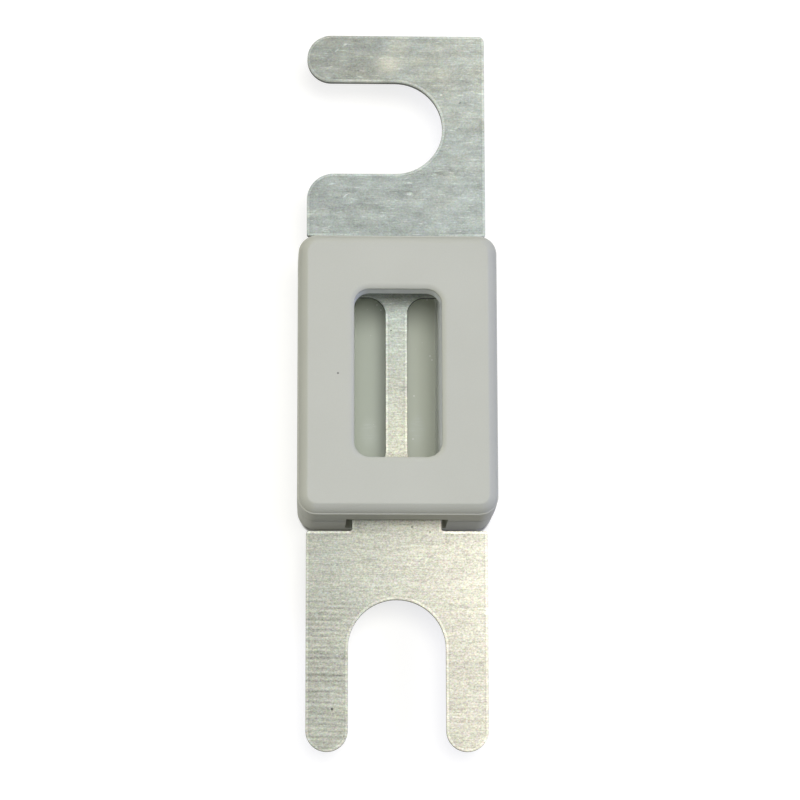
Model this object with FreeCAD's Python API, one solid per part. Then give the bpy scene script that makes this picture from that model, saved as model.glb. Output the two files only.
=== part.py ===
import FreeCAD, Part
import math
import os

# Bolt down strip fuse: a punched metal strip with two slotted terminals, clamped between
# two moulded shells. All lengths are in millimetres.
# X runs across the strip, Y along it towards the terminal slotted from its side, and +Z is
# the front, where the window is. The origin is under the middle of the strip's length, on
# the plane of the rear face.

os.makedirs("parts", exist_ok=True)
Vector = FreeCAD.Vector

# Metal strip
strip_width = 20.0
strip_thickness = 0.9
die_roll = 0.22
slot_width = 10.75
shoulder_gap = 1.05
shoulder_corner = 0.3

# Terminal slotted from its side: a prong, the slot, and the web down to the shoulder
side_prong_width = 5.405
side_web = 7.215
side_slot_reach = 15.25
side_slot_lip = 3.0
end_corner = 0.65

# Terminal slotted from its end: the slot, and the web up to the shoulder
end_slot_reach = 16.66
end_web = 7.57

# Necks and fuse element
neck_width = 9.82
neck_root = 0.3
element_width = 2.43
element_span = 19.46
element_fillet = 2.0

# Window in the front plate, and the cavity behind it
window_width = 9.64
window_length = 18.8
window_corner = 1.7
window_rim = 0.65
cavity_undercut = 2.2
cavity_corner = 1.0
cavity_draft = 2.0

# Walls of both shells
side_wall = 6.18
end_wall = 4.05
housing_corner = 2.05
parting_chamfer = 0.12

# Front shell
front_height = 5.55
front_draft = 0.7
plate_thickness = 2.55
bevel_width = 1.2
bevel_depth = 1.15
bevel_top_angle = 24.0
bevel_ledge = 0.1

# Rear shell
rear_height = 6.85
rear_draft = 1.2
rear_edge = 0.4
floor_thickness = 1.7

# Channels that carry the necks through the end walls
channel_side_clearance = 0.69
channel_top_clearance = 0.1
channel_overlap = 0.45
channel_relief = 1.2
end_recess = 1.5
hold_down_inset = 1.4
hold_down_thickness = 1.2
hold_down_setback = 1.6
hold_down_clearance = 0.05

# Pins of the front shell in the sockets of the rear shell
pin_radius = 1.0
pin_length = 2.6
pin_side_cover = 1.8
pin_end_cover = 2.2
socket_clearance = 0.08
socket_end_gap = 0.3

# Coring pockets beside the cavity
core_wall = 1.3
core_corner = 0.5
core_roof = 2.0

# Sizes and places that follow
housing_width = window_width + side_wall * 2
housing_length = window_length + (cavity_undercut + end_wall) * 2
cavity_length = window_length + cavity_undercut * 2
channel_width = neck_width + channel_side_clearance * 2
channel_start = element_span / 2 - channel_overlap
shoulder = housing_length / 2 + shoulder_gap
side_terminal_length = side_prong_width + slot_width + side_web
end_terminal_length = end_slot_reach + end_web
housing_middle = (end_terminal_length - side_terminal_length) / 2
strip_front = rear_height - channel_top_clearance
strip_rear = strip_front - strip_thickness
front_face = rear_height + front_height
plate_back = front_face - plate_thickness
rim_height = front_face - window_rim


def along(distance):
    """Y of a point that lies this far from the middle of the housing."""
    return housing_middle + distance


def draft(height, angle):
    """How far a wall drafted at an angle moves over a height."""
    return height * math.tan(math.radians(angle))


def rounded_wire(corners, z):
    """Closed wire through corners (x, y, radius), each corner rounded by a tangent arc."""
    count = len(corners)
    arcs = []
    for i, (x, y, radius) in enumerate(corners):
        corner = Vector(x, y, z)
        before = Vector(*corners[i - 1][:2], z) - corner
        after = Vector(*corners[(i + 1) % count][:2], z) - corner
        before.normalize()
        after.normalize()
        half_angle = before.getAngle(after) / 2
        run = radius / math.tan(half_angle)
        inward = before + after
        inward.normalize()
        middle = corner + inward * (radius / math.sin(half_angle) - radius)
        arcs.append((corner + before * run, middle, corner + after * run))
    edges = []
    for i, (start, middle, end) in enumerate(arcs):
        edges.append(Part.Arc(start, middle, end).toShape())
        following = arcs[(i + 1) % count][0]
        if end.distanceToPoint(following) > 1e-6:
            edges.append(Part.LineSegment(end, following).toShape())
    return Part.Wire(edges)


def rectangle(half_x, half_y, radius, z):
    """Rounded rectangle about the middle of the housing, starting on its left side."""
    low, high = along(-half_y), along(half_y)
    corners = [(-half_x, low), (half_x, low), (half_x, high), (-half_x, high)]
    return rounded_wire([(x, y, radius) for x, y in corners], z)


def loft(lower, upper):
    """Solid between two outlines."""
    return Part.makeLoft([lower, upper], True, True)


def box(low, high):
    """Box between two corners."""
    size = [b - a for a, b in zip(low, high)]
    return Part.makeBox(*size, Vector(*low))


def at_both_ends(half_width, nearer, farther, low, high):
    """A box across each end, between two distances from the middle of the housing."""
    stretches = (along(-farther), along(-nearer)), (along(nearer), along(farther))
    return [box((-half_width, a, low), (half_width, b, high)) for a, b in stretches]


def edges_at(shape, z, reach=math.inf):
    """Edges that lie in the plane at z and within reach of the long axis."""
    found = []
    for edge in shape.Edges:
        bounds = edge.BoundBox
        flat = abs(bounds.ZMin - z) < 1e-6 and abs(bounds.ZMax - z) < 1e-6
        if flat and max(-bounds.XMin, bounds.XMax) < reach:
            found.append(edge)
    return found


def strip_corners():
    """Corners of the strip's outline, counter-clockwise from the lower end's slot."""
    half_width = strip_width / 2
    half_slot = slot_width / 2
    neck = neck_width / 2
    element = element_width / 2
    low_shoulder, high_shoulder = along(-shoulder), along(shoulder)
    low_end, high_end = low_shoulder - end_terminal_length, high_shoulder + side_terminal_length
    low_narrow, high_narrow = along(-element_span / 2), along(element_span / 2)
    end_prong = (half_width - half_slot) / 2
    end_slot_top = low_shoulder - end_web
    side_prong = side_prong_width / 2
    slot_inside = side_slot_reach - half_width
    slot_low = high_shoulder + side_web
    slot_high = slot_low + slot_width
    end_slot = [(-half_slot, end_slot_top, half_slot), (half_slot, end_slot_top, half_slot)]
    right_side = [
        (half_slot, low_end, end_prong),
        (half_width, low_end, end_prong),
        (half_width, low_shoulder, shoulder_corner),
        (neck, low_shoulder, neck_root),
        (neck, low_narrow, neck_root),
        (element, low_narrow, element_fillet),
        (element, high_narrow, element_fillet),
        (neck, high_narrow, neck_root),
        (neck, high_shoulder, neck_root),
        (half_width, high_shoulder, shoulder_corner),
    ]
    side_slotted_terminal = [
        (half_width, high_end, end_corner),
        (-half_width, high_end, side_prong),
        (-half_width, slot_high, side_prong),
        (slot_inside, slot_high, half_slot),
        (slot_inside, slot_low, half_slot),
        (-half_width, slot_low, side_slot_lip),
    ]
    left_side = [(-x, y, radius) for x, y, radius in reversed(right_side)]
    return end_slot + right_side + side_slotted_terminal + left_side


def fuse_strip():
    """Terminals, necks and fuse element, punched as one piece from the front.

    The punch draws the front edges in, and leaves the rear ones sharp.
    """
    blank = Part.Face(rounded_wire(strip_corners(), strip_rear))
    strip = blank.extrude(Vector(0, 0, strip_thickness))
    return strip.makeFillet(die_roll, edges_at(strip, strip_front))


def bevel_cutter(inset):
    """Ring that takes the bevel off the front edge of a wall drawn in by inset.

    The bevel is an arc that leaves the face at bevel_top_angle and ends in a narrow ledge.
    """
    foot = front_face - bevel_depth
    outline = rectangle(housing_width / 2 - inset, housing_length / 2 - inset, housing_corner - inset, foot)
    start = outline.OrderedEdges[0].valueAt(outline.OrderedEdges[0].FirstParameter)

    def point(outward, z):
        return Vector(start.x - outward, start.y, z)

    run = bevel_width - bevel_ledge
    steepness = math.atan2(bevel_depth, run)
    swell = math.hypot(bevel_depth, run) / 2 * math.tan((steepness - math.radians(bevel_top_angle)) / 2)
    low, high = point(-bevel_ledge, foot), point(-bevel_width, front_face)
    middle = (low + high) / 2 + Vector(-math.sin(steepness), 0, math.cos(steepness)) * swell
    above = front_face + bevel_depth
    corners = [high, point(-bevel_width, above), point(bevel_width, above), point(bevel_width, foot), low]
    lines = [Part.LineSegment(a, b).toShape() for a, b in zip(corners, corners[1:])]
    profile = Part.Wire([Part.Arc(low, middle, high).toShape()] + lines)
    return outline.makePipeShell([profile], True, False)


def cavity(low, high):
    """Space behind the window between two heights, narrower towards the rear."""
    ends = []
    for z in (low, high):
        half_x = window_width / 2 - draft(rim_height - z, cavity_draft)
        ends.append(rectangle(half_x, cavity_length / 2, cavity_corner, z))
    return loft(*ends)


def window():
    """Opening through the front plate, drafted like the cavity that it leads to."""
    ends = []
    for z in (plate_back, front_face):
        inset = draft(rim_height - z, cavity_draft)
        ends.append(rectangle(window_width / 2 - inset, window_length / 2 - inset, window_corner - inset, z))
    return loft(*ends)


def cores(low, high):
    """Pockets that keep the walls even, one on each side of the cavity."""
    near = window_width / 2 + core_wall
    far = housing_width / 2 - core_wall
    half_y = channel_start - core_wall
    pockets = []
    for left, right in ((-far, -near), (near, far)):
        corners = [(left, -half_y), (right, -half_y), (right, half_y), (left, half_y)]
        outline = rounded_wire([(x, along(y), core_corner) for x, y in corners], low)
        pockets.append(Part.Face(outline).extrude(Vector(0, 0, high - low)))
    return pockets


def pin_places():
    """Middles of the four pins, in from the corners of the housing."""
    x = housing_width / 2 - pin_side_cover - pin_radius
    y = housing_length / 2 - pin_end_cover - pin_radius
    return [(i * x, along(j * y)) for i in (-1, 1) for j in (-1, 1)]


def pin(x, y):
    """Round pin that stands out of the parting plane towards the rear."""
    return Part.makeCylinder(pin_radius, pin_length, Vector(x, y, rear_height), Vector(0, 0, -1))


def socket(x, y):
    """Blind hole that takes a pin."""
    radius, depth = pin_radius + socket_clearance, pin_length + socket_end_gap
    return Part.makeCylinder(radius, depth, Vector(x, y, rear_height), Vector(0, 0, -1))


def hold_downs():
    """Ribs of the front shell that keep the strip's necks down on the channel floors."""
    outer = housing_length / 2 - hold_down_setback
    low, high = strip_front + hold_down_clearance, rear_height + channel_relief
    return at_both_ends(channel_width / 2 - hold_down_inset, outer - hold_down_thickness, outer, low, high)


def front_housing():
    """Front shell: windowed plate, bevelled edge, pins and hold-down ribs in one moulding."""
    half_x, half_y = housing_width / 2, housing_length / 2
    inset = draft(front_height, front_draft)
    foot = rectangle(half_x, half_y, housing_corner, rear_height)
    face = rectangle(half_x - inset, half_y - inset, housing_corner - inset, front_face)
    shell = loft(foot, face)
    shell = shell.makeChamfer(parting_chamfer, edges_at(shell, rear_height))
    shell = shell.cut(bevel_cutter(draft(front_height - bevel_depth, front_draft))).cut(window())
    shell = shell.makeFillet(window_rim, edges_at(shell, front_face, window_width))
    shell = shell.cut(cavity(rear_height, plate_back))
    relief_top = rear_height + channel_relief
    reliefs = at_both_ends(channel_width / 2, channel_start, shoulder, rear_height, relief_top)
    shell = shell.cut(reliefs + cores(rear_height, front_face - core_roof))
    return shell.fuse([pin(x, y) for x, y in pin_places()] + hold_downs()).removeSplitter()


def rear_housing():
    """Rear shell: closed back, channels for the necks, sockets, and a recess in each end."""
    half_x, half_y = housing_width / 2, housing_length / 2
    inset = draft(rear_height, rear_draft)
    back = rectangle(half_x - inset, half_y - inset, housing_corner - inset, 0)
    shell = loft(back, rectangle(half_x, half_y, housing_corner, rear_height))
    shell = shell.makeChamfer(parting_chamfer, edges_at(shell, rear_height))
    shell = shell.makeChamfer(rear_edge, edges_at(shell, 0))
    shell = shell.cut(cavity(floor_thickness, rear_height))
    channels = at_both_ends(channel_width / 2, channel_start, shoulder, strip_rear, rear_height)
    recesses = at_both_ends(channel_width / 2, half_y - end_recess, shoulder, floor_thickness, strip_rear)
    sockets = [socket(x, y) for x, y in pin_places()]
    return shell.cut(channels + recesses + cores(core_roof, rear_height) + sockets).removeSplitter()


for build in (fuse_strip, front_housing, rear_housing):
    build().exportStep(f"parts/{build.__name__}.step")
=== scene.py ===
import math

import bmesh
import bpy
from mathutils import Matrix, Vector


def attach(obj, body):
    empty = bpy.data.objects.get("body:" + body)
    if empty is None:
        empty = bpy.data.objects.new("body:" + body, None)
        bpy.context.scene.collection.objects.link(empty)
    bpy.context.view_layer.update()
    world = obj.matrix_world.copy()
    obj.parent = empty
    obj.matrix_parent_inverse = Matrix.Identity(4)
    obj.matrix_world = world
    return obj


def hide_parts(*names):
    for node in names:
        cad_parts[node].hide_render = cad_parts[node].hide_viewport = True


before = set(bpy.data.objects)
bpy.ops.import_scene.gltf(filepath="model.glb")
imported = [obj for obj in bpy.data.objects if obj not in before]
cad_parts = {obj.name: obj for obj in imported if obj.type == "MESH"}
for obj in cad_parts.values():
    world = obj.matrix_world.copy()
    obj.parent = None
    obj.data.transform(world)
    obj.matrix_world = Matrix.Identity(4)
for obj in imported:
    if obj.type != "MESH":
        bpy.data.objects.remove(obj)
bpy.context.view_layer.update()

# Lengths are in millimetres until a mesh is finished, and then in metres.
METRE = 0.001
UP = Vector((0, 0, 1))
WHITE = (1, 1, 1, 1)

# Points nearer than this are one, and a face this near to a plane lies in it
NEAR = 1e-4

# Heights above the plane that the housing lies on
FLOOR = 1.7
STRIP_REAR = 5.85
STRIP_FRONT = 6.75
PARTING = 6.85
PLATE_BACK = 9.85
FRONT_FACE = 12.4

# Housing, about its own middle
MIDDLE_Y = 0.43
HALF_WIDTH = 11.0
HALF_LENGTH = 15.65
CORNER = 2.05
PARTING_GROOVE = 0.09
FRONT_DRAFT = math.radians(0.7)
REAR_DRAFT = math.radians(0.6)
REAR_EDGE = 0.3

# Faces in each quarter turn, and round a whole rod
CORNER_STEPS = 12
PUNCHED_STEPS = 16
CORE_STEPS = 6
REAR_EDGE_STEPS = 6
FILLET_STEPS = 4
LIP_STEPS = 3
ROD_SIDES = 48

# Bevel round the front face: an arc, eased into the face, with a narrow ledge at its foot
BEVEL_RUN = 0.85
BEVEL_DEPTH = 1.15
BEVEL_LEDGE = 0.1
BEVEL_LEDGE_RISE = 0.06
BEVEL_TOP = math.radians(30)
BEVEL_EASE = 0.4
BEVEL_STEPS = 8
EASE_STEPS = 5

# Window, and the cavity behind it
WINDOW_HALF_WIDTH = 4.82
WINDOW_HALF_LENGTH = 9.4
WINDOW_CORNER = 1.7
WINDOW_RIM = 0.65
RIM_EDGE = 0.05
RIM_SLOPE = math.radians(36)
WINDOW_LIP = 0.12
RIM_STEPS = 7
CAVITY_UNDERCUT = 2.2
CAVITY_SLOPE = math.tan(math.radians(1))
FLOOR_FILLET = 0.2

# Channels, recesses, ribs, pins and pockets
CHANNEL_HALF = 5.6
CHANNEL_START = 9.28
CHANNEL_RELIEF = 1.2
END_RECESS = 1.5
RIB_HALF = 4.2
RIB_OUTER = 14.05
RIB_THICKNESS = 1.2
RIB_GAP = 0.05
PIN_X = 8.2
PIN_Y = 12.45
PIN_RADIUS = 1.0
PIN_LENGTH = 2.6
SOCKET_CLEARANCE = 0.08
SOCKET_END_GAP = 0.3
CORE_NEAR = 6.12
CORE_FAR = 9.7
CORE_HALF_LENGTH = 7.98
CORE_CORNER = 0.5
CORE_ROOF = 2.0

# Strip
STRIP_HALF_WIDTH = 10.0
STRIP_HALF_LENGTH = 40.5
SLOT_HALF = 5.375
SHOULDER = 16.7
NECK_HALF = 4.91
ELEMENT_HALF = 1.215
ELEMENT_END = 9.73
ELEMENT_FILLET = 2.0
END_WEB = 7.57
SIDE_WEB = 7.215
SIDE_PRONG = 5.405
SIDE_SLOT_REACH = 15.25
SIDE_SLOT_LIP = 3.0
SMALL_CORNER = 0.3
END_CORNER = 0.65
DIE_ROLL = 0.06
DIE_ROLL_STEPS = 5

# Tin: at the side-slotted end, at the end-slotted one on its left and its right, and where it is stained
COOL_TIN = (0.31, 0.34, 0.31, 1)
WARM_TIN = (0.334, 0.34, 0.283, 1)
GOLDEN_TIN = (0.353, 0.342, 0.281, 1)
STAINED_TIN = (0.379, 0.379, 0.297, 1)
PALE_STAIN = (0.406, 0.402, 0.324, 1)

# Marks on the strip: pits (x, y, radius), and nicks (x, y, half length, half width, turn, gain in brightness)
PITS = ((1.67, -15.83, 0.13), (3.65, -16.38, 0.13), (-7.11, -35.9, 0.2), (-0.6, 6.3, 0.12))
NICKS = (
    (-5.75, 39.45, 0.42, 0.17, 0.6, 0.55),
    (-6.7, 38.75, 0.5, 0.1, 0.65, 0.4),
    (-7.45, 36.8, 0.42, 0.12, 0.4, 0.4),
    (-5.68, 21.8, 0.55, 0.12, 0.65, 0.5),
    (1.45, 22.02, 0.5, 0.32, 0.2, 0.4),
    (5.11, 33.6, 0.22, 0.12, 0.2, 0.7),
    (7.26, 32.68, 0.25, 0.12, 0.3, -0.5),
)

# Specks of dust on the floor of the cavity, and their radius
DUST = ((-2.02, 10.37), (-1.57, 9.79), (3.65, 10.98), (3.96, 4.5), (4.18, 4.04), (2.14, -0.11), (2.01, -5.04))
DUST_RADIUS = 0.12

# Studio: half the floor's width, the height that the lamps look at, and how bright the sky is
FLOOR_REACH = 3000
AIM_HEIGHT = 6.3
SKY_LIGHT = 0.08
SKY_SEEN = 0.65
FLOOR_LIFT = 0.72

# Lamps: name, direction, distance, size, power, colour
LAMPS = (
    ("key", (0.075, 0.09, 1), 1.0, 0.4, 3.1, (1, 1, 1)),
    ("key_soft", (0.075, 0, 1), 1.0, 0.7, 2.8, (1, 1, 1)),
    ("back_low", (0, 1, 0.35), 1.2, 0.8, 3.6, (1, 1, 1)),
    ("right_high", (0.95, 0, 1), 1.2, 0.6, 2.3, (1, 1, 1)),
    ("right_side", (1, 0, 0.6), 1.2, 0.8, 5.2, (0.38, 0.43, 1.0)),
    ("left_side", (-1, 0, 0.6), 1.2, 0.8, 4.1, (0.97, 0.97, 1.0)),
)

# Camera: the frame and the focal length in pixels, the sensor, the place and the two directions of the frame
FRAME_PX = 800
FOCAL_PX = 3277.56
SENSOR = 36.0
CAMERA_PLACE = (-11.991, -72.069, 363.339)
CAMERA_RIGHT = (0.99941186, -0.00242617, 0.03420592)
CAMERA_UP = (-0.00425098, 0.98103459, 0.19378611)


def along(distance):
    """Y of a point that lies this far from the middle of the housing."""
    return MIDDLE_Y + distance


def arc_steps(radius, start, end, count, way):
    """Steps (inward, rise) round an arc whose slope turns from start to end; way is 1 up or -1 down."""
    angles = [start + (end - start) * i / count for i in range(count + 1)]
    return [(radius * abs(math.sin(a) - math.sin(b)), way * radius * abs(math.cos(b) - math.cos(a)))
            for a, b in zip(angles, angles[1:])]


def rounded_face(bm, corners, z, steps=CORNER_STEPS):
    """A flat face, looking up, through corners (x, y, radius), each of them rounded."""
    verts = [bm.verts.new((x, y, z)) for x, y, _ in corners]
    bm.faces.new(verts)
    for vert, (_, _, radius) in zip(verts, corners):
        bmesh.ops.bevel(bm, geom=[vert], offset=radius, offset_type="OFFSET", segments=steps,
                        profile=0.5, affect="VERTICES", material=-1)
    rim = [v for v in bm.verts if v.is_boundary and abs(v.co.z - z) < NEAR]
    bmesh.ops.remove_doubles(bm, verts=rim, dist=NEAR)
    face = [f for f in bm.faces if all(abs(v.co.z - z) < NEAR for v in f.verts)][-1]
    face.normal_update()
    if face.normal.z < 0:
        face.normal_flip()
    return face


def rounded_rectangle(bm, half_x, half_y, radius, z):
    """A flat face round the middle of the housing."""
    low, high = along(-half_y), along(half_y)
    corners = [(-half_x, low), (half_x, low), (half_x, high), (-half_x, high)]
    return rounded_face(bm, [(x, y, radius) for x, y in corners], z)


def extruded(bm, face, lift, inset_x=0.0, inset_y=0.0):
    """Draws a face out by lift, its outline shrunk by the insets, and returns the new face."""
    result = bmesh.ops.extrude_face_region(bm, geom=[face, *face.edges, *face.verts])
    new = [g for g in result["geom"] if isinstance(g, bmesh.types.BMFace)][0]
    xs = [v.co.x for v in new.verts]
    ys = [v.co.y for v in new.verts]
    half_x, half_y = (max(xs) - min(xs)) / 2, (max(ys) - min(ys)) / 2
    centre = Vector(((max(xs) + min(xs)) / 2, (max(ys) + min(ys)) / 2, 0))
    shrink = ((half_x - inset_x) / half_x, (half_y - inset_y) / half_y, 1)
    bmesh.ops.scale(bm, verts=new.verts, vec=shrink, space=Matrix.Translation(-centre))
    bmesh.ops.translate(bm, verts=new.verts, vec=UP * lift)
    return new


def stepped(bm, face, steps):
    """Insets a level face step by step, each step (inward, rise)."""
    for inward, rise in steps:
        face.normal_update()
        bmesh.ops.inset_region(bm, faces=[face], thickness=inward, use_even_offset=True, use_boundary=True,
                               depth=math.copysign(1, face.normal.z) * rise)
    return face


def joined_by_frame(bm, one, other):
    """Takes two faces in one plane away and fills the frame between their rims."""
    rims = list(one.edges) + list(other.edges)
    bmesh.ops.delete(bm, geom=[one, other], context="FACES_ONLY")
    bmesh.ops.triangle_fill(bm, edges=rims, normal=UP, use_beauty=True)


def block(bm, low, high):
    """A box between two corners."""
    size = [b - a for a, b in zip(low, high)]
    middle = [(a + b) / 2 for a, b in zip(low, high)]
    bmesh.ops.create_cube(bm, size=1, matrix=Matrix.Translation(middle) @ Matrix.Diagonal((*size, 1)))


def end_blocks(bm, half_width, near, far, low, high):
    """A box across each end of the housing, between two distances from its middle."""
    for a, b in ((-far, -near), (near, far)):
        block(bm, (-half_width, along(a), low), (half_width, along(b), high))


def rods(bm, radius, low, high):
    """Four round rods at the places of the pins."""
    for x in (-PIN_X, PIN_X):
        for y in (along(-PIN_Y), along(PIN_Y)):
            bmesh.ops.create_cone(bm, cap_ends=True, segments=ROD_SIDES, radius1=radius, radius2=radius,
                                  depth=high - low, matrix=Matrix.Translation((x, y, (low + high) / 2)))


def pockets(bm, low, high):
    """The two coring pockets beside the cavity."""
    for side in (-1, 1):
        left, right = sorted((side * CORE_NEAR, side * CORE_FAR))
        corners = [(left, -CORE_HALF_LENGTH), (right, -CORE_HALF_LENGTH),
                   (right, CORE_HALF_LENGTH), (left, CORE_HALF_LENGTH)]
        face = rounded_face(bm, [(x, along(y), CORE_CORNER) for x, y in corners], low, CORE_STEPS)
        extruded(bm, face, high - low)


def new_object(name, bm):
    """Turns a mesh in millimetres into an object."""
    bmesh.ops.recalc_face_normals(bm, faces=bm.faces)
    mesh = bpy.data.meshes.new(name)
    bm.to_mesh(mesh)
    bm.free()
    made = bpy.data.objects.new(name, mesh)
    bpy.context.scene.collection.objects.link(made)
    return made


def combined(piece, operation, tool):
    """The piece with a tool cut from it or joined to it."""
    modifier = piece.modifiers.new(operation, "BOOLEAN")
    modifier.operation = operation
    modifier.solver = "EXACT"
    modifier.object = tool
    bpy.context.view_layer.update()
    evaluated = piece.evaluated_get(bpy.context.evaluated_depsgraph_get())
    mesh = bpy.data.meshes.new_from_object(evaluated)
    piece.modifiers.clear()
    piece.data = mesh
    bpy.data.objects.remove(tool)
    return piece


def finished(piece, sharp=math.radians(18)):
    """Gives a piece its size in metres and its shading, and puts it on the frame."""
    bm = bmesh.new()
    bm.from_mesh(piece.data)
    bmesh.ops.transform(bm, matrix=Matrix.Scale(METRE, 4), verts=bm.verts)
    for face in bm.faces:
        face.smooth = True
    for edge in bm.edges:
        edge.smooth = len(edge.link_faces) == 2 and edge.calc_face_angle() < sharp
    bm.to_mesh(piece.data)
    bm.free()
    weighted = piece.modifiers.new("even shading", "WEIGHTED_NORMAL")
    weighted.keep_sharp = True
    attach(piece, "root")
    return piece


def strip_corners():
    """Corners of the strip's outline, counter-clockwise from the lower end's slot."""
    low_shoulder, high_shoulder = along(-SHOULDER), along(SHOULDER)
    low_narrow, high_narrow = along(-ELEMENT_END), along(ELEMENT_END)
    end_prong = (STRIP_HALF_WIDTH - SLOT_HALF) / 2
    slot_inside = SIDE_SLOT_REACH - STRIP_HALF_WIDTH
    slot_low = high_shoulder + SIDE_WEB
    slot_high = slot_low + SLOT_HALF * 2
    right = [
        (SLOT_HALF, -STRIP_HALF_LENGTH, end_prong),
        (STRIP_HALF_WIDTH, -STRIP_HALF_LENGTH, end_prong),
        (STRIP_HALF_WIDTH, low_shoulder, SMALL_CORNER),
        (NECK_HALF, low_shoulder, SMALL_CORNER),
        (NECK_HALF, low_narrow, SMALL_CORNER),
        (ELEMENT_HALF, low_narrow, ELEMENT_FILLET),
        (ELEMENT_HALF, high_narrow, ELEMENT_FILLET),
        (NECK_HALF, high_narrow, SMALL_CORNER),
        (NECK_HALF, high_shoulder, SMALL_CORNER),
        (STRIP_HALF_WIDTH, high_shoulder, SMALL_CORNER),
    ]
    side_slotted = [
        (STRIP_HALF_WIDTH, STRIP_HALF_LENGTH, END_CORNER),
        (-STRIP_HALF_WIDTH, STRIP_HALF_LENGTH, SIDE_PRONG / 2),
        (-STRIP_HALF_WIDTH, slot_high, SIDE_PRONG / 2),
        (slot_inside, slot_high, SLOT_HALF),
        (slot_inside, slot_low, SLOT_HALF),
        (-STRIP_HALF_WIDTH, slot_low, SIDE_SLOT_LIP),
    ]
    end_slot_top = low_shoulder - END_WEB
    end_slot = [(-SLOT_HALF, end_slot_top, SLOT_HALF), (SLOT_HALF, end_slot_top, SLOT_HALF)]
    return end_slot + right + side_slotted + [(-x, y, radius) for x, y, radius in reversed(right)]


def make_fuse_strip():
    """The punched strip, its front edges drawn in by the punch."""
    bm = bmesh.new()
    face = rounded_face(bm, strip_corners(), STRIP_REAR, PUNCHED_STEPS)
    top = extruded(bm, face, STRIP_FRONT - STRIP_REAR)
    bmesh.ops.bevel(bm, geom=list(top.edges), offset=DIE_ROLL, offset_type="OFFSET", segments=DIE_ROLL_STEPS,
                    profile=0.5, affect="EDGES", clamp_overlap=False, material=-1)
    return finished(new_object("punched_fuse_strip", bm))


def window_and_cavity(bm):
    """Surface of the window and of the cavity behind it, from the front face to the parting plane."""
    rim = rounded_rectangle(bm, WINDOW_HALF_WIDTH + WINDOW_RIM, WINDOW_HALF_LENGTH + WINDOW_RIM,
                            WINDOW_CORNER + WINDOW_RIM, FRONT_FACE)
    plate = extruded(bm, rim, 0)
    shallow = (WINDOW_RIM - RIM_EDGE) / math.sin(RIM_SLOPE)
    tight = RIM_EDGE / (1 - math.sin(RIM_SLOPE))
    profile = (arc_steps(shallow, 0, RIM_SLOPE, RIM_STEPS, -1)
               + arc_steps(tight, RIM_SLOPE, math.pi / 2, RIM_STEPS, -1))
    plate = stepped(bm, plate, profile)
    depth = FRONT_FACE - PLATE_BACK + sum(rise for _, rise in profile)
    back = extruded(bm, plate, -depth, depth * CAVITY_SLOPE, depth * CAVITY_SLOPE)
    undercut = extruded(bm, back, 0)
    for verts, way in (([v for v in undercut.verts if v.co.y < MIDDLE_Y], -1),
                       ([v for v in undercut.verts if v.co.y > MIDDLE_Y], 1)):
        bmesh.ops.translate(bm, verts=verts, vec=(0, way * CAVITY_UNDERCUT, 0))
    depth = PLATE_BACK - PARTING
    end = extruded(bm, undercut, -depth, depth * CAVITY_SLOPE)
    return rim, end


def window_lip(bm):
    """Edges at both ends of the window where its wall meets the back of the plate."""
    return [e for e in bm.edges if all(abs(v.co.z - PLATE_BACK) < 1e-3 for v in e.verts)
            and all(abs(v.co.y - MIDDLE_Y) < WINDOW_HALF_LENGTH for v in e.verts)
            and len(e.link_faces) == 2 and e.calc_face_angle() > 0.5]


def make_front_shell():
    """Front shell: bevelled skin, window and cavity as one closed surface, then the cuts."""
    bm = bmesh.new()
    foot = rounded_rectangle(bm, HALF_WIDTH, HALF_LENGTH, CORNER, PARTING + PARTING_GROOVE)
    wall = FRONT_FACE - BEVEL_DEPTH - PARTING - PARTING_GROOVE
    drawn_in = wall * math.tan(FRONT_DRAFT)
    top = extruded(bm, foot, wall, drawn_in, drawn_in)
    ease = arc_steps(BEVEL_EASE, BEVEL_TOP, 0, EASE_STEPS, 1)
    bevel_rise = BEVEL_DEPTH - BEVEL_LEDGE_RISE - sum(rise for _, rise in ease)
    steepness = math.atan2(bevel_rise, BEVEL_RUN)
    bevel_foot = 2 * steepness - BEVEL_TOP
    radius = math.hypot(BEVEL_RUN, bevel_rise) / 2 / math.sin((bevel_foot - BEVEL_TOP) / 2)
    bevel = arc_steps(radius, bevel_foot, BEVEL_TOP, BEVEL_STEPS, 1)
    top = stepped(bm, top, [(BEVEL_LEDGE, BEVEL_LEDGE_RISE)] + bevel + ease)
    foot = stepped(bm, foot, [(PARTING_GROOVE, -PARTING_GROOVE)])
    rim, end = window_and_cavity(bm)
    joined_by_frame(bm, top, rim)
    joined_by_frame(bm, foot, end)
    bmesh.ops.remove_doubles(bm, verts=bm.verts, dist=NEAR)
    bmesh.ops.dissolve_degenerate(bm, dist=1e-3, edges=bm.edges)
    bmesh.ops.bevel(bm, geom=window_lip(bm), offset=WINDOW_LIP, offset_type="OFFSET", segments=LIP_STEPS,
                    profile=0.5, affect="EDGES", clamp_overlap=True, material=-1)
    shell = new_object("front_shell", bm)

    cuts = bmesh.new()
    below, above = PARTING - CHANNEL_RELIEF, PARTING + CHANNEL_RELIEF
    end_blocks(cuts, CHANNEL_HALF, CHANNEL_START, SHOULDER, below, above)
    pockets(cuts, below, FRONT_FACE - CORE_ROOF)
    shell = combined(shell, "DIFFERENCE", new_object("cuts", cuts))

    added = bmesh.new()
    rods(added, PIN_RADIUS, PARTING - PIN_LENGTH, PARTING + PIN_RADIUS)
    end_blocks(added, RIB_HALF, RIB_OUTER - RIB_THICKNESS, RIB_OUTER, STRIP_FRONT + RIB_GAP,
               PARTING + 2 * CHANNEL_RELIEF)
    shell = combined(shell, "UNION", new_object("added", added))
    return finished(shell)


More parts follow.
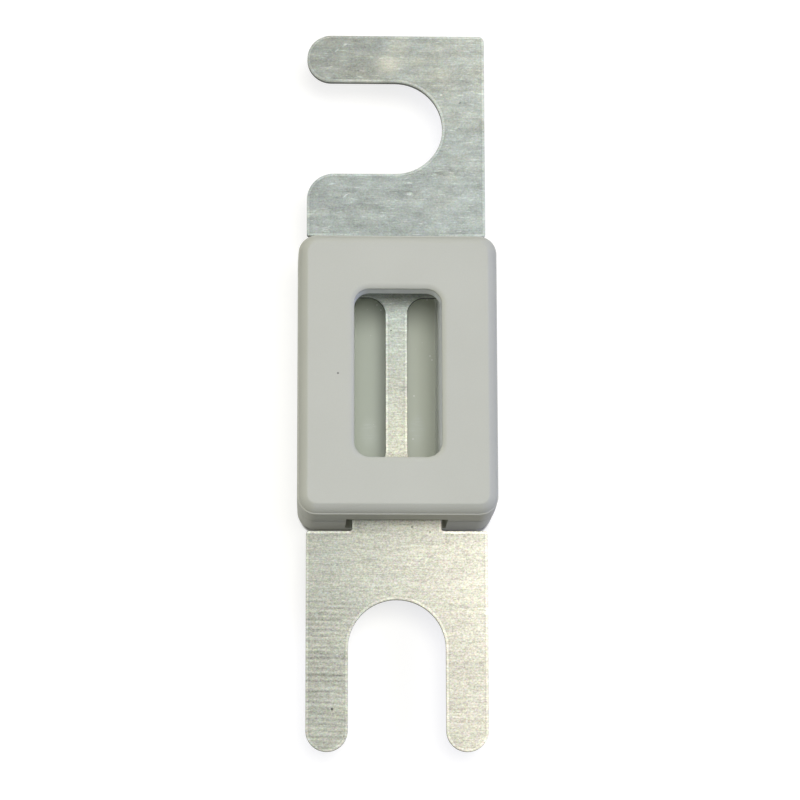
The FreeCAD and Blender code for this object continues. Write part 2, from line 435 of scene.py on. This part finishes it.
def make_rear_shell():
    """Rear shell: rounded back, cavity with its floor, then the channels, recesses and sockets."""
    bm = bmesh.new()
    head = rounded_rectangle(bm, HALF_WIDTH, HALF_LENGTH, CORNER, PARTING - PARTING_GROOVE)
    wall = PARTING - PARTING_GROOVE - REAR_EDGE
    drawn_in = wall * math.tan(REAR_DRAFT)
    back = extruded(bm, head, -wall, drawn_in, drawn_in)
    stepped(bm, back, arc_steps(REAR_EDGE, math.pi / 2, 0, REAR_EDGE_STEPS, -1))
    head = stepped(bm, head, [(PARTING_GROOVE, PARTING_GROOVE)])

    narrowing = (FRONT_FACE - WINDOW_RIM - PARTING) * CAVITY_SLOPE
    mouth = rounded_rectangle(bm, WINDOW_HALF_WIDTH - narrowing, WINDOW_HALF_LENGTH + CAVITY_UNDERCUT,
                              WINDOW_CORNER, PARTING)
    depth = PARTING - FLOOR - FLOOR_FILLET
    floor = extruded(bm, mouth, -depth, depth * CAVITY_SLOPE)
    stepped(bm, floor, arc_steps(FLOOR_FILLET, math.pi / 2, 0, FILLET_STEPS, -1))
    joined_by_frame(bm, head, mouth)
    shell = new_object("rear_shell", bm)

    cuts = bmesh.new()
    end_blocks(cuts, CHANNEL_HALF, CHANNEL_START, SHOULDER, STRIP_REAR, PARTING + CHANNEL_RELIEF)
    pockets(cuts, CORE_ROOF, PARTING + CHANNEL_RELIEF)
    rods(cuts, PIN_RADIUS + SOCKET_CLEARANCE, PARTING - PIN_LENGTH - SOCKET_END_GAP, PARTING + CHANNEL_RELIEF)
    shell = combined(shell, "DIFFERENCE", new_object("cuts", cuts))
    recesses = bmesh.new()
    end_blocks(recesses, CHANNEL_HALF, HALF_LENGTH - END_RECESS, SHOULDER, FLOOR, PARTING)
    shell = combined(shell, "DIFFERENCE", new_object("recesses", recesses))
    return finished(shell)


class Shade:
    """One value of a material; sums on it add the Math nodes."""

    def __init__(self, finish, socket):
        self.finish = finish
        self.socket = socket

    def math(self, operation, *values):
        return self.finish.node("ShaderNodeMath", {"operation": operation}, dict(enumerate((self, *values))))

    def __add__(self, other):
        return self.math("ADD", other)

    def __radd__(self, other):
        return self.math("ADD", other)

    def __sub__(self, other):
        return self.math("SUBTRACT", other)

    def __rsub__(self, other):
        return self.finish.node("ShaderNodeMath", {"operation": "SUBTRACT"}, {0: other, 1: self})

    def __mul__(self, other):
        return self.math("MULTIPLY", other)

    def __rmul__(self, other):
        return self.math("MULTIPLY", other)

    def __truediv__(self, other):
        return self.math("DIVIDE", other)

    def __abs__(self):
        return self.math("ABSOLUTE")


class Finish:
    """A material, or the sky, built from nodes."""

    def __init__(self, name, kind="materials"):
        self.material = getattr(bpy.data, kind).new(name)
        self.material.use_nodes = True
        self.tree = self.material.node_tree
        self.tree.nodes.clear()
        self.place = self.node("ShaderNodeTexCoord", output="Object")

    def node(self, kind, settings=None, inputs=None, output=0):
        """Adds a node, its settings first, and gives back one of its outputs."""
        made = self.tree.nodes.new(kind)
        for name, value in (settings or {}).items():
            setattr(made, name, value)
        for key, value in (inputs or {}).items():
            if isinstance(value, Shade):
                self.tree.links.new(value.socket, made.inputs[key])
            elif value is not None:
                made.inputs[key].default_value = value
        return Shade(self, made.outputs[output]) if made.outputs else None

    def seen(self):
        """1 for rays from the camera, a reflection or a glass, 0 for light on the object."""
        outputs = ("Is Camera Ray", "Is Glossy Ray", "Is Transmission Ray")
        return greatest(*(self.node("ShaderNodeLightPath", output=ray) for ray in outputs))

    def stretched(self, scale, turn=0.0, shift=(0, 0, 0)):
        """Object coordinates in millimetres times a scale on each axis."""
        return self.node("ShaderNodeMapping", None, {
            "Vector": self.place, "Location": shift, "Rotation": (0, 0, turn),
            "Scale": tuple(s / METRE for s in scale)})

    def noise(self, scale, detail=3.0, roughness=0.5, turn=0.0, shift=(0, 0, 0), output=0):
        """Noise from 0 to 1, scale in cells per millimetre on each axis."""
        return self.node("ShaderNodeTexNoise", {"noise_dimensions": "3D"}, {
            "Vector": self.stretched(scale, turn, shift), "Scale": 1.0, "Detail": detail,
            "Roughness": roughness}, output)

    def spots(self, scale, size, shift=(0, 0, 0)):
        """Round spots, 1 at the middle of a cell and 0 from size outwards, size in cells."""
        distance = self.node("ShaderNodeTexVoronoi", {"feature": "F1"}, {
            "Vector": self.stretched(scale, 0.0, shift), "Scale": 1.0}, "Distance")
        return self.between(distance, size, size * 0.5)

    def axis(self, name):
        """One Object coordinate in millimetres."""
        return self.node("ShaderNodeSeparateXYZ", None, {"Vector": self.place}, name) / METRE

    def between(self, value, low, high):
        """Turns low..high smoothly into 0..1, and high..low into 1..0 where low is the larger."""
        return self.node("ShaderNodeMapRange", {"interpolation_type": "SMOOTHSTEP"}, {
            "Value": value, "From Min": low, "From Max": high})

    def blot(self, x, y, half_x, half_y):
        """1 at a place given in millimetres, 0 at the rim of an upright ellipse round it."""
        across, length_way = (self.axis("X") - x) / half_x, (self.axis("Y") - y) / half_y
        return self.between(length(across, length_way), 1.0, 0.3)

    def dash(self, x, y, half_length, half_width, turn):
        """1 at a place given in millimetres, 0 at the rim of a long ellipse turned by an angle."""
        across, upward = self.axis("X") - x, self.axis("Y") - y
        lengthwise = across * math.cos(turn) + upward * math.sin(turn)
        sideways = upward * math.cos(turn) - across * math.sin(turn)
        return self.between(length(lengthwise / half_length, sideways / half_width), 1.0, 0.3)

    def scaled(self, color, factor):
        """A colour times a grey or coloured factor."""
        return self.node("ShaderNodeVectorMath", {"operation": "MULTIPLY"}, {0: color, 1: factor})

    def mixed(self, factor, one, other):
        """A colour between two colours."""
        return self.node("ShaderNodeMix", {"data_type": "RGBA"}, {0: factor, 6: one, 7: other}, 2)

    def bumped(self, height, distance, strength=1.0, normal=None):
        """A normal from a height; distance is the height's size in millimetres."""
        return self.node("ShaderNodeBump", None, {
            "Height": height, "Distance": distance * METRE, "Strength": strength, "Normal": normal})

    def surface(self, **sockets):
        """Closes the material with the shader and its sockets."""
        inputs = {name.replace("_", " "): value for name, value in sockets.items()}
        shader = self.node("ShaderNodeBsdfPrincipled", None, inputs)
        self.node("ShaderNodeOutputMaterial", None, {"Surface": shader})
        return self.material


def grey(red, green, blue):
    """A colour from screen values 0 to 255."""
    def linear(value):
        share = value / 255
        return share / 12.92 if share <= 0.04045 else ((share + 0.055) / 1.055) ** 2.4
    return (linear(red), linear(green), linear(blue), 1.0)


def length(*parts):
    """Length of a vector from its parts."""
    total = parts[0] * parts[0]
    for part in parts[1:]:
        total = total + part * part
    return total.math("SQRT")


def least(*values):
    """The smallest of some values."""
    total = values[0]
    for value in values[1:]:
        total = total.math("MINIMUM", value)
    return total


def greatest(*values):
    """The largest of some values."""
    total = values[0]
    for value in values[1:]:
        total = total.math("MAXIMUM", value)
    return total


def strip_edge(finish):
    """Distance in millimetres from the nearest punched edge of the strip.

    Each line is one edge, and a steep slope takes it out of play where the edge ends.
    """
    x, y = finish.axis("X"), finish.axis("Y")
    beside, away = abs(x), abs(y - MIDDLE_Y)
    steep = 9.0
    end_prong = (STRIP_HALF_WIDTH - SLOT_HALF) / 2
    slot_end = SIDE_SLOT_REACH - STRIP_HALF_WIDTH - SLOT_HALF
    slot_y = along(SHOULDER) + SIDE_WEB + SLOT_HALF
    lip = (SIDE_SLOT_LIP - STRIP_HALF_WIDTH, slot_y - SLOT_HALF - SIDE_SLOT_LIP)
    prong = (SIDE_PRONG / 2 - STRIP_HALF_WIDTH, STRIP_HALF_LENGTH - SIDE_PRONG / 2)
    return least(
        STRIP_HALF_WIDTH - beside,
        STRIP_HALF_LENGTH - y,
        length((x - slot_end).math("MAXIMUM", 0.0), y - slot_y) - SLOT_HALF,
        length(x, (y - along(-SHOULDER) + END_WEB + SLOT_HALF).math("MAXIMUM", 0.0)) - SLOT_HALF,
        greatest(SIDE_PRONG / 2 - length(x - prong[0], y - prong[1]), (x - prong[0]) * steep,
                 (slot_y + SLOT_HALF - y) * steep),
        greatest(SIDE_SLOT_LIP - length(x - lip[0], y - lip[1]), (x - lip[0]) * steep, (lip[1] - y) * steep,
                 (y - slot_y + SLOT_HALF) * steep),
        greatest(end_prong - length(beside - STRIP_HALF_WIDTH + end_prong, y + STRIP_HALF_LENGTH - end_prong),
                 (y + STRIP_HALF_LENGTH - end_prong) * steep),
        greatest(away - SHOULDER, (NECK_HALF - beside) * steep),
        greatest(NECK_HALF - beside, (away - SHOULDER) * steep),
        greatest(ELEMENT_HALF - beside, (away - ELEMENT_END + ELEMENT_FILLET) * steep),
    )


def strip_color(finish, lower, prong, blotches, stain):
    """Cool at the side-slotted end and golden at the other, with yellowish stains and a fine speckle."""
    tint = finish.noise((5.5, 5.5, 5.5), 1.0, 0.5, shift=(11, 3, 0))
    warm = finish.between(lower + prong * 0.5 + (blotches - 0.5) * 1.2 + (tint - 0.5) * 2.0, 0.0, 1.0)
    color = finish.mixed(warm, COOL_TIN, WARM_TIN)
    color = finish.mixed(lower * finish.between(finish.axis("X"), -8.0, 8.0), color, GOLDEN_TIN)
    stains = finish.between(finish.noise((0.2, 0.35, 0.35), 4.0, 0.6, shift=(3, 7, 0)), 0.5, 0.75)
    color = finish.mixed(stains * 0.3, color, STAINED_TIN)
    color = finish.mixed(stain * 0.7, color, PALE_STAIN)
    speckle = finish.noise((5.5, 5.5, 5.5), 1.0, 0.5, shift=(2, 8, 0), output="Color")
    speckle = finish.node("ShaderNodeVectorMath", {"operation": "MULTIPLY_ADD"}, {
        0: speckle, 1: (0.5, 0.5, 0.7), 2: (0.75, 0.75, 0.65)})
    return finish.scaled(color, finish.mixed(0.5 + lower * 0.2, WHITE, speckle))


def strip_smudges(finish, upper):
    """Brightness of the soft smudges, the dark flecks and the slanting scratches."""
    smudges = finish.noise((0.45, 0.8, 0.8), 3.0, 0.55, shift=(6, 1, 0))
    flecks = finish.between(finish.noise((1.0, 5.0, 1.0), 2.0, 0.5, 0.05, (1, 4, 0)), 0.6, 0.72)
    change = (smudges - 0.5) * (0.2 + upper * 0.5) - flecks * finish.between(smudges, 0.6, 0.4) * upper * 0.16
    for turn, shift in ((-0.65, 0), (-0.5, 5)):
        scratches = finish.noise((0.9, 6.0, 1.0), 2.0, 0.5, turn, (shift, shift, 0))
        change = change + finish.between(scratches, 0.62, 0.74) * (0.2 + upper * 0.2)
    return change


def prong_ripples(finish, lower, blotches):
    """Coarse ripples that a worn tool left across one prong of the end-slotted terminal."""
    x, y = finish.axis("X"), finish.axis("Y")
    rough_cut = lower * finish.between(x, -4.0, -6.5) * finish.between(y, -20.0, -25.0)
    waves = (y * 10.3 + blotches * 5.0 + x * 0.3).math("SINE")
    ripples = finish.between(finish.noise((0.12, 1.7, 0.1), 2.0, 0.6, shift=(5, 2, 0)), 0.45, 0.7)
    return (ripples * 0.15 + waves * 0.11) * rough_cut


def painted_strip_light(finish, lower, prong):
    """Painted light on the tin: the end-slotted terminal painted brighter, a painted slope of light across the
    terminals and prongs, painted light and shade along the element.
    """
    x, y = finish.axis("X"), finish.axis("Y")
    low_prongs = finish.between(y, -22.0, -34.0)
    across = x * (0.003 + lower * 0.0245 - low_prongs * 0.008) + prong * (x * 0.012 - 0.01)
    element = finish.between(abs(x), 1.6, 1.3) * finish.between(abs(y - MIDDLE_Y), 12.0, 9.0)
    element = element * (0.02 + finish.between(y, 9.6, 8.0) * 0.32 - finish.between(y, 7.0, 2.0) * 0.18
                         + finish.between(y, -1.0, -9.0) * 0.12)
    # Painted light: end-slotted terminal brighter, its prongs darker, slopes across, light and shade along the
    # element
    return 0.815 + lower * 0.31 - low_prongs * 0.14 + across + element


def painted_edge_light(finish):
    """Painted highlights and shade by the edges: a painted bright rim and rolled edge with a painted dark
    groove beside it, painted brighter shoulders, painted shade on the cut faces.
    """
    x, y, z = finish.axis("X"), finish.axis("Y"), finish.axis("Z")
    edge = strip_edge(finish)
    front = finish.between(z, STRIP_FRONT - 0.35, STRIP_FRONT - 0.2)
    turned = finish.between(z, STRIP_FRONT - 0.005, STRIP_FRONT - 0.05) * front
    rim = finish.between(edge, 0.38, 0.22) * front
    groove = finish.between(edge, 0.22, 0.28) * finish.between(edge, 0.42, 0.36)
    step = y - along(-SHOULDER)
    shoulder = finish.between(step, -0.39, -0.19) * finish.between(step, 0.37, 0.07)
    shoulder = shoulder * finish.between(abs(x), NECK_HALF - 0.01, NECK_HALF + 0.49)
    # Painted highlights on the rim, the rolled edge and the shoulders; painted shade in the groove and on the
    # cut faces
    return (1.0 + rim * 0.22 + turned * 0.6 + shoulder * 0.4 - groove * 0.12) * (0.35 + front * 0.65)


def strip_marks(finish):
    """Brightness of the dark pits and of the nicks."""
    pits = [1.0 - finish.blot(x, y, radius, radius) * 0.75 for x, y, radius in PITS]
    nicks = [1.0 + finish.dash(*place) * gain for *place, gain in NICKS]
    return math.prod(pits + nicks)


def strip_metal():
    """Tinned strip: fine brushing across it, mottling, yellowish stains and a few scratches, with painted light
    on its parts and painted highlights and shade by its edges.
    """
    finish = Finish("tinned_strip_metal")
    y = finish.axis("Y")
    lower = finish.between(y, 14.0, -14.0)
    prong = finish.between(y, 24.0, 34.0)
    brushing = finish.noise((0.4, 8.5, 3.0), 4.0, 0.65)
    streaks = finish.noise((0.12, 1.6, 1.0), 3.0, 0.55)
    grain = finish.noise((5.0, 6.5, 6.0), 2.0, 0.7)
    blotches = finish.noise((0.35, 0.5, 0.5), 4.0, 0.6)
    stain = finish.blot(-0.88, 37.2, 2.0, 1.5)

    fine = ((brushing - 0.5) * 0.85 + (grain - 0.5) * 1.55) * (0.6 + lower * 0.35)
    shade = 1.0 + fine + (streaks - 0.5) * 0.4 + stain * 0.1
    shade = shade + strip_smudges(finish, 1.0 - lower) - prong_ripples(finish, lower, blotches)
    # Painted light on the parts and painted highlights and shade by the edges multiply the tin's brightness
    shade = shade * painted_strip_light(finish, lower, prong) * painted_edge_light(finish) * strip_marks(finish)
    color = finish.scaled(strip_color(finish, lower, prong, blotches, stain), shade)
    normal = finish.bumped(grain, 0.006, 0.6, finish.bumped(brushing, 0.005, 0.5))
    return finish.surface(Base_Color=color, Metallic=1.0, Normal=normal,
                          Roughness=0.56 + brushing * 0.05 + grain * 0.03)


def cavity_dust(finish):
    """White specks of dust: a few at their places, the rest scattered."""
    drifts = finish.between(finish.noise((0.3, 0.3, 0.3), 1.0), 0.5, 0.6)
    scattered = finish.spots((1.3, 1.3, 1.3), 0.06, (0.3, 0.6, 0.2)) * drifts
    return greatest(scattered, *(finish.blot(x, y, DUST_RADIUS, DUST_RADIUS) for x, y in DUST))


def housing_plastic():
    """Matte moulded plastic with a fine spark-eroded grain; dust and scuffs lie on the cavity's floor, and
    painted light lightens the cavity's floor and walls.
    """
    finish = Finish("matte_housing_plastic")
    x, y, z = finish.axis("X"), finish.axis("Y"), finish.axis("Z")
    cloud = finish.noise((0.12, 0.12, 0.12), 3.0, 0.5)
    grain = finish.noise((7.0, 7.0, 7.0), 3.0, 0.6)
    color = finish.mixed(cloud + (grain - 0.5) * 0.9, grey(183, 184, 169), grey(191, 192, 177))

    within = finish.between(abs(x), 5.2, 5.0)
    inside = finish.between(z, 6.0, 3.0) * within
    # Painted light: the cavity's floor is a lighter, greener copy of the plastic, lighter still towards its
    # right
    painted_light_floor_color = finish.mixed(finish.between(x, -4.0, 4.0), grey(194, 201, 186), grey(206, 211, 194))
    color = finish.mixed(inside * 0.85, color, painted_light_floor_color)
    # Painted light: the window's and cavity's walls are painted much lighter than the plastic
    painted_wall_light = finish.between(z, FLOOR + 0.01, FLOOR + 0.1) * finish.between(z, FRONT_FACE - 0.4, FRONT_FACE - 0.7)
    painted_wall_light = painted_wall_light * within * finish.between(abs(y - MIDDLE_Y), 12.2, 12.0)
    color = finish.mixed(painted_wall_light, color, grey(230, 232, 224))

    # Painted light: two pale pools on the cavity's floor beside the element, streaked by scuffs
    scuffs = finish.between(finish.noise((0.5, 6.0, 1.0), 3.0, 0.6, 0.8), 0.5, 0.7)
    painted_light_pools = (finish.blot(-2.9, -4.3, 1.3, 2.2) + finish.blot(2.5, -4.0, 1.2, 2.2)) * inside
    color = finish.mixed(painted_light_pools * (0.25 + scuffs * 0.5), color, grey(214, 219, 210))
    color = finish.mixed(cavity_dust(finish) * inside, color, grey(240, 240, 235))
    speck = finish.blot(-6.59, 0.28, 0.16, 0.16) * finish.between(z, FRONT_FACE - 0.1, FRONT_FACE - 0.05)
    color = finish.mixed(speck * 0.8, color, grey(60, 60, 58))
    return finish.surface(Base_Color=color, Roughness=0.55 + grain * 0.1, Specular_IOR_Level=0.4,
                          Normal=finish.bumped(grain, 0.008, 0.5))


def make_floor():
    """Pale floor that keeps the object's shadow; right under the housing it isn't lifted to white, which paints
    shadow into the gap beside the housing.
    """
    bm = bmesh.new()
    bmesh.ops.create_grid(bm, x_segments=1, y_segments=1, size=FLOOR_REACH)
    floor = new_object("studio_floor", bm)
    floor.data.transform(Matrix.Scale(METRE, 4))
    finish = Finish("studio_floor_white")
    beside, away = abs(finish.axis("X")), abs(finish.axis("Y") - MIDDLE_Y)
    # Painted shadow: under the housing and a little past its ends the floor is not lifted to white
    flat_x, flat_y = HALF_WIDTH - 0.3 - CORNER, HALF_LENGTH + 0.4 - CORNER
    corner = length((beside - flat_x).math("MAXIMUM", 0.0), (away - flat_y).math("MAXIMUM", 0.0))
    clear = finish.between(corner, CORNER - 0.2, CORNER + 0.1)
    paint = finish.node("ShaderNodeBsdfDiffuse", None, {"Color": (0.39, 0.385, 0.35, 1)})
    dark = finish.node("ShaderNodeEmission", None, {"Strength": 0.0})
    glow = finish.node("ShaderNodeEmission", None, {"Color": WHITE, "Strength": FLOOR_LIFT})
    lift = finish.node("ShaderNodeMixShader", None, {0: finish.seen() * clear, 1: dark, 2: glow})
    both = finish.node("ShaderNodeAddShader", None, {0: paint, 1: lift})
    finish.node("ShaderNodeOutputMaterial", None, {"Surface": both})
    floor.data.materials.append(finish.material)


def make_sky():
    """Studio round the object: a little light of its own, pale to the camera and in reflections."""
    sky = Finish("studio_sky", "worlds")
    dim = sky.node("ShaderNodeBackground", None, {"Color": WHITE, "Strength": SKY_LIGHT})
    pale = sky.node("ShaderNodeBackground", None, {"Color": WHITE, "Strength": SKY_SEEN})
    both = sky.node("ShaderNodeMixShader", None, {0: sky.seen(), 1: dim, 2: pale})
    sky.node("ShaderNodeOutputWorld", None, {"Surface": both})
    bpy.context.scene.world = sky.material


def area_light(name, direction, distance, size, power, color):
    """A round lamp that looks at the object from a direction."""
    data = bpy.data.lights.new(name, "AREA")
    data.shape = "DISK"
    data.size = size
    data.energy = power
    data.color = color
    lamp = bpy.data.objects.new(name, data)
    place = Vector(direction).normalized() * distance
    lamp.location = place + UP * AIM_HEIGHT * METRE
    lamp.rotation_euler = place.to_track_quat("Z", "Y").to_euler()
    bpy.context.scene.collection.objects.link(lamp)


def make_camera():
    """The photograph's view: from in front of the fuse, a little towards its end slot."""
    data = bpy.data.cameras.new("camera")
    data.sensor_width = SENSOR
    data.lens = FOCAL_PX / FRAME_PX * SENSOR
    data.clip_start = 0.01
    camera = bpy.data.objects.new("camera", data)
    right, up = Vector(CAMERA_RIGHT), Vector(CAMERA_UP)
    turn = Matrix((right, up, right.cross(up))).transposed().to_4x4()
    camera.matrix_world = Matrix.Translation(Vector(CAMERA_PLACE) * METRE) @ turn
    bpy.context.scene.collection.objects.link(camera)
    bpy.context.scene.camera = camera


plastic = housing_plastic()
pieces = (
    (make_fuse_strip(), "fuse_strip", "strip_metal", strip_metal()),
    (make_front_shell(), "front_housing", "housing_plastic", plastic),
    (make_rear_shell(), "rear_housing", "housing_plastic", plastic),
)
for piece, node, slot, material in pieces:
    piece.data.materials.clear()
    piece.data.materials.append(material)
    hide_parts(node)

make_floor()
for lamp in LAMPS:
    area_light(*lamp)
make_sky()
make_camera()
bpy.context.scene.view_settings.view_transform = "Standard"
